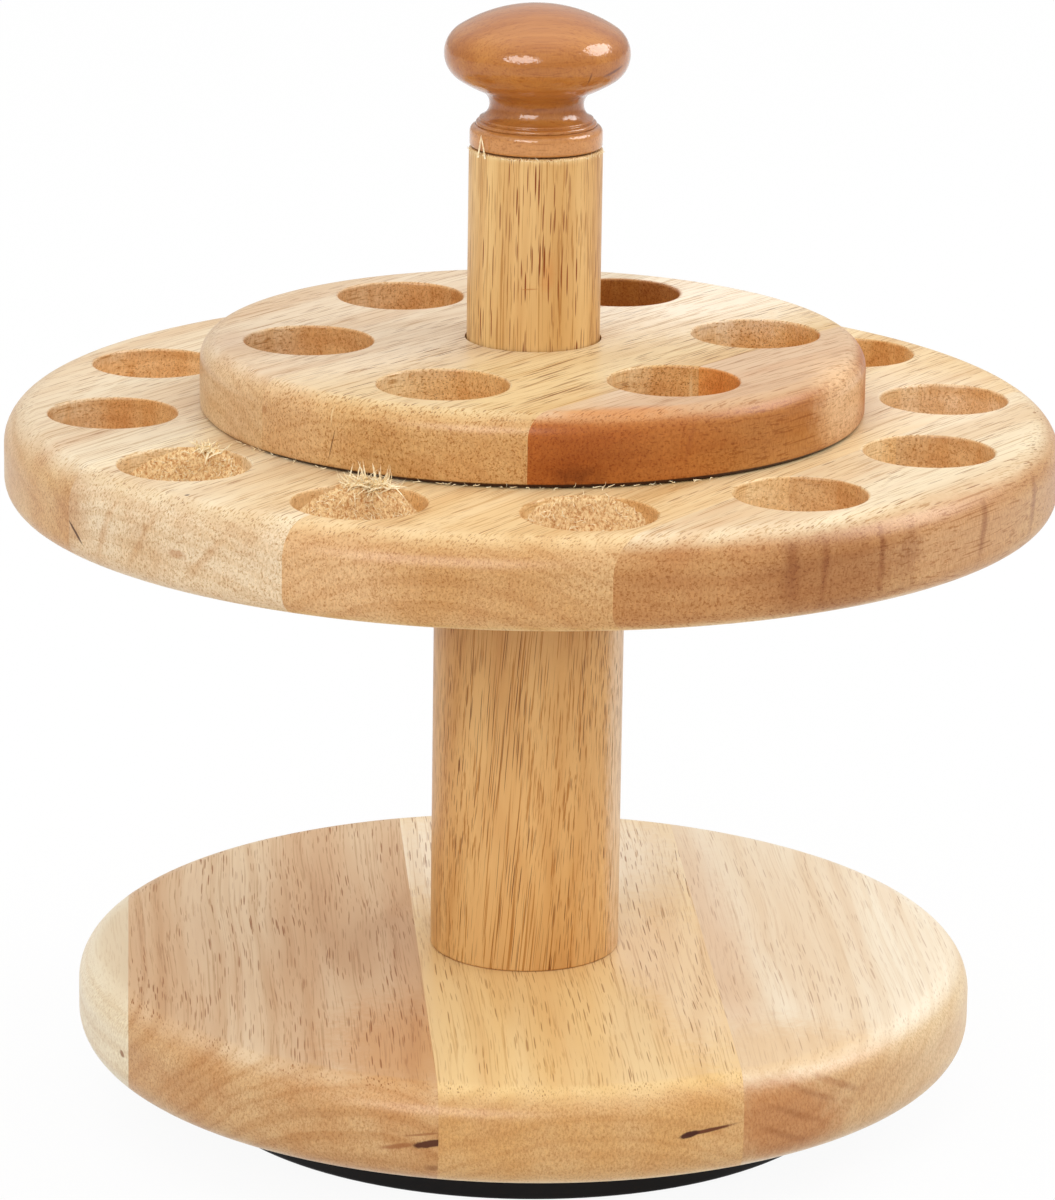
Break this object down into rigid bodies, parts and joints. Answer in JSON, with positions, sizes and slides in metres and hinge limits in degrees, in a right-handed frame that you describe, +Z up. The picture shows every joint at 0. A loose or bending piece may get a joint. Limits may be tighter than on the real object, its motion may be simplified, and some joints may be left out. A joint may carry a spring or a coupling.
{
  "type": "scissors rack",
  "caption": "Revolving wooden scissors rack: drilled round tiers and a turned knob on a post, over a round base that spins on a ball-bearing swivel foot.",
  "frame": {"origin": "on the table surface under the rubber pads, on the axis of rotation", "axes": "+Z up along the axis of rotation, -Y towards the viewer of the picture"},
  "size_m": [0.23, 0.23, 0.2463],
  "materials": {
    "knob_wood": "gloss lacquer, honey brown",
    "upper_post_wood": "satin lacquer",
    "lower_post_wood": "satin lacquer",
    "upper_tier_wood": "satin lacquer",
    "lower_tier_wood": "satin lacquer",
    "base_wood": "satin lacquer",
    "steel": "zinc plated",
    "black_plastic": "satin moulded",
    "cage_plastic": "natural nylon",
    "rubber": "matt"
  },
  "bodies": {
    "foot": {"swivel_foot": "black_plastic", "foot_pads": "rubber", "pivot_rivet": "steel", "thrust_washer": "cage_plastic"},
    "ball_ring": {"ball_cage": "cage_plastic", "bearing_balls": "steel"},
    "rack": {"knob": "knob_wood", "knob_screw": "steel", "upper_post": "upper_post_wood", "tier_screws": "steel", "lower_post": "lower_post_wood", "post_screw": "steel", "swivel_plate": "black_plastic", "plate_screws": "steel", "upper_tier_stave_1": "upper_tier_wood", "upper_tier_stave_2": "upper_tier_wood", "upper_tier_stave_3": "upper_tier_wood", "lower_tier_stave_1": "lower_tier_wood", "lower_tier_stave_2": "lower_tier_wood", "lower_tier_stave_3": "lower_tier_wood", "lower_tier_stave_4": "lower_tier_wood", "base_stave_1": "base_wood", "base_stave_2": "base_wood", "base_stave_3": "base_wood", "base_stave_4": "base_wood"}
  },
  "joints": [
    {"name": "rack_spin", "type": "hinge", "parent": "foot", "child": "rack", "pos_m": [0, 0, 0.0128], "axis": [0, 0, 1], "continuous": true},
    {"name": "ball_orbit", "type": "hinge", "parent": "foot", "child": "ball_ring", "pos_m": [0, 0, 0.0071], "axis": [0, 0, 1], "continuous": true}
  ],
  "couplings": [
    {"joint": "ball_orbit", "follows": "rack_spin", "ratio": 0.5}
  ]
}
